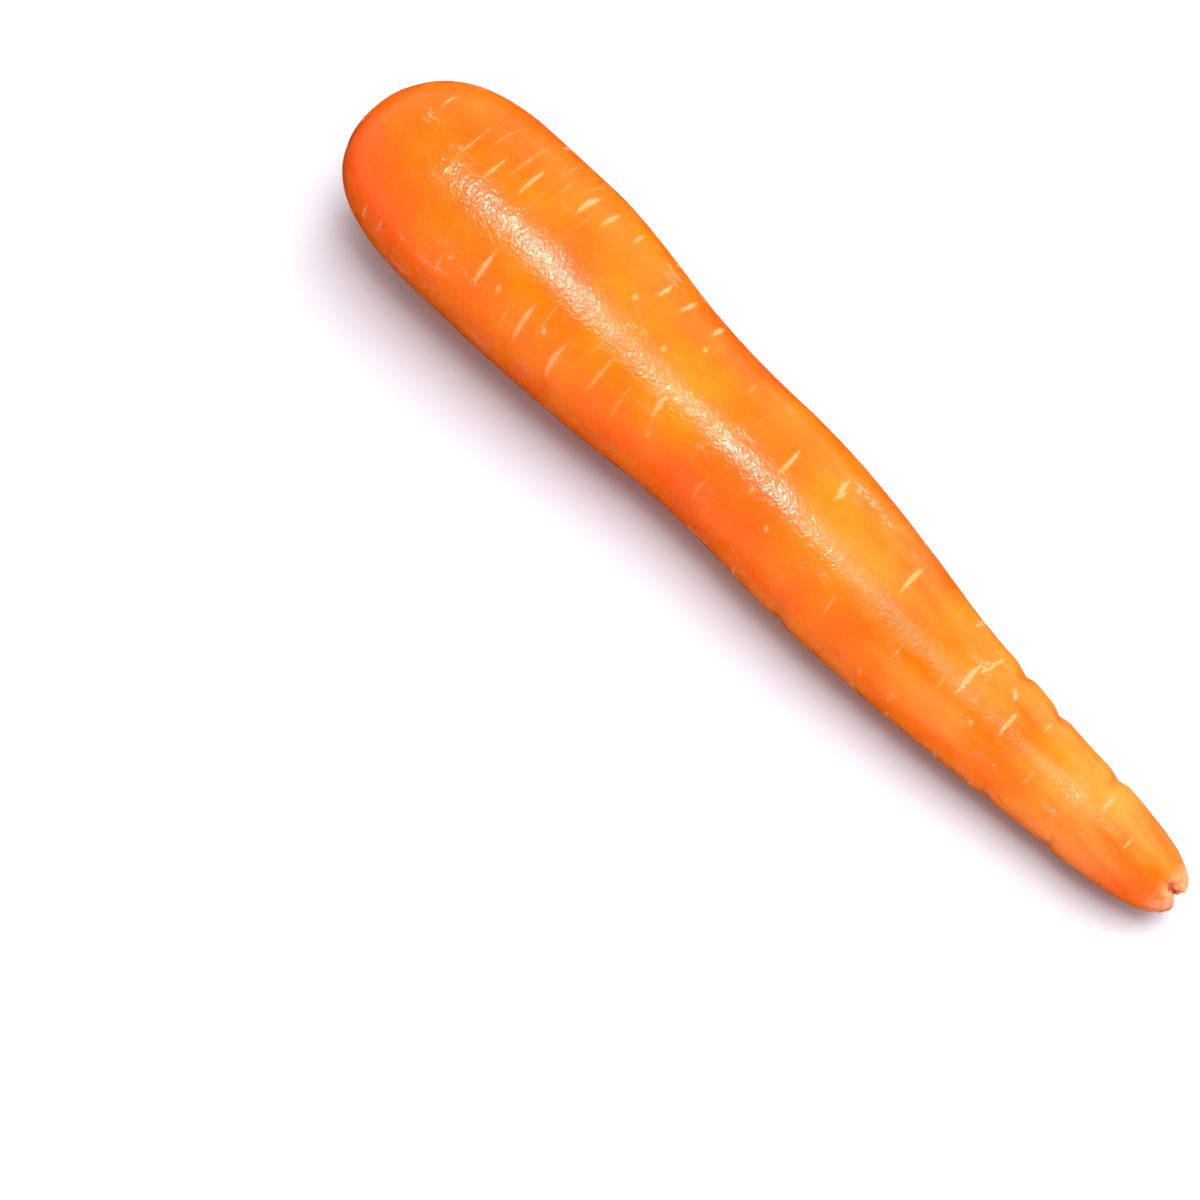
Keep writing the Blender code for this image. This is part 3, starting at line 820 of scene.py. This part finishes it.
# Plain pale floor, soft studio light.
studio = {
    "floorSize": 6.0,
    "floorColour": "#D2D1D9",
    "horizonColour": "#FFFFFF",
    "ceilingColour": "#56545C",
    "cellarColour": "#3A2016",
    "worldStrength": 0.64,
    "strip": {"place": (0.02, -0.066, 0.95), "size": (0.60, 0.20), "power": 2.4},
    "spotColour": "#FFF0E0",
    "spot": {"place": (-0.144, -0.066, 0.95), "size": (0.24, 0.06), "power": 6.5},
    "key": {"place": (0.08, 0.36, 1.17), "size": (0.90, 0.90), "power": 24.0},
    "fill": {"place": (0.30, 1.20, 0.55), "size": (1.20, 0.70), "power": 5.0},
}


def softbox(name, place, size, power, mirrored):
    data = bpy.data.lights.new(name, "AREA")
    data.shape = "RECTANGLE"
    data.size, data.size_y = size
    data.energy = power
    lamp = bpy.data.objects.new(name, data)
    lamp.location = place
    lamp.rotation_euler = (-Vector(place)).to_track_quat("-Z", "Y").to_euler()
    lamp.visible_glossy = mirrored  # a softbox that isn't mirrored leaves no band of gloss on the skin
    bpy.context.scene.collection.objects.link(lamp)
    return lamp


def buildFloor():
    half = studio["floorSize"] / 2
    mesh = bpy.data.meshes.new("floor")
    corners = [(-half, -half, 0), (half, -half, 0), (half, half, 0), (-half, half, 0)]
    mesh.from_pydata(corners, [], [(0, 1, 2, 3)])
    floor = bpy.data.objects.new("floor", mesh)
    bpy.context.scene.collection.objects.link(floor)
    # Matt painted board: an even, pale ground.
    material = bpy.data.materials.new("mattPaintedBoard")
    material.use_nodes = True
    shader = material.node_tree.nodes["Principled BSDF"]
    shader.inputs["Base Color"].default_value = hexColour(studio["floorColour"])
    shader.inputs["Roughness"].default_value = 0.9
    shader.inputs["Specular IOR Level"].default_value = 0.2
    mesh.materials.append(material)
    # the skin's gloss doesn't mirror the bright floor, so its lower half stays deep
    floor.visible_glossy = False


def buildWorld():
    # pale all round at eye level, greyer overhead and dark under the floor
    world = bpy.data.worlds.new("studio")
    world.use_nodes = True
    tree = world.node_tree
    back = tree.nodes["Background"]
    add = partial(addNode, tree)
    height = add("ShaderNodeSeparateXYZ", add("ShaderNodeTexCoord").outputs["Generated"]).outputs[2]
    share = add("ShaderNodeMapRange", height, 0.45, 0.95, 0.0, 1.0, interpolation_type="SMOOTHSTEP")
    shade = add("ShaderNodeMix", share, hexColour(studio["horizonColour"]),
                hexColour(studio["ceilingColour"]), data_type="RGBA")
    under = add("ShaderNodeMapRange", height, -0.04, -0.30, 0.0, 1.0, interpolation_type="SMOOTHSTEP")
    shade = add("ShaderNodeMix", under, shade.outputs[2], hexColour(studio["cellarColour"]), data_type="RGBA")
    tree.links.new(shade.outputs[2], back.inputs["Color"])
    back.inputs["Strength"].default_value = studio["worldStrength"]
    bpy.context.scene.world = world


def buildStudio():
    buildFloor()
    buildWorld()
    softbox("overheadStrip", **studio["strip"], mirrored=True)
    spot = softbox("overheadSpot", **studio["spot"], mirrored=True)
    spot.visible_diffuse = False  # it only glints on the moist skin
    spot.data.color = hexColour(studio["spotColour"])[:3]
    softbox("overheadKey", **studio["key"], mirrored=False)
    softbox("sideFill", **studio["fill"], mirrored=False)
    bpy.context.scene.view_settings.view_transform = "Standard"
    bpy.context.scene.view_settings.look = "None"
    print("studio ready")


# The camera looks down on the root, crown at the upper left and tip at the lower right.
shot = {
    "azimuth": 43.9,
    "elevation": 74.0,
    "distance": 0.700,
    "lens": 110.0,
    "aim": (-0.0345, -0.0209),  # right and up of the frame's middle, in the picture's plane
    "aimHeight": 0.015,
    "sensor": 36.0,
}


def buildCamera():
    turn, tilt = math.radians(shot["azimuth"]), math.radians(shot["elevation"])
    back = Vector((math.sin(turn) * math.cos(tilt), -math.cos(turn) * math.cos(tilt), math.sin(tilt)))
    right = Vector((math.cos(turn), math.sin(turn), 0.0))
    up = back.cross(right)
    aim = Vector((0.0, 0.0, shot["aimHeight"])) + right * shot["aim"][0] + up * shot["aim"][1]
    data = bpy.data.cameras.new("camera")
    data.lens = shot["lens"]
    data.sensor_width = shot["sensor"]
    camera = bpy.data.objects.new("camera", data)
    camera.location = aim + back * shot["distance"]
    camera.rotation_euler = (-back).to_track_quat("-Z", "Y").to_euler()
    bpy.context.scene.collection.objects.link(camera)
    bpy.context.scene.camera = camera
    print("camera ready")


buildCamera()
buildStudio()
profile = profileGuide()
wires = scarGuide()
carrot = growSkin(profile, wires, skinMaterial())
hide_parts("carrot")
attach(carrot, "root")
crownFibres = growFibres(carrot, fibreMaterial())
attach(crownFibres, "root")
for guide in (profile, wires):
    bpy.data.objects.remove(guide, do_unlink=True)
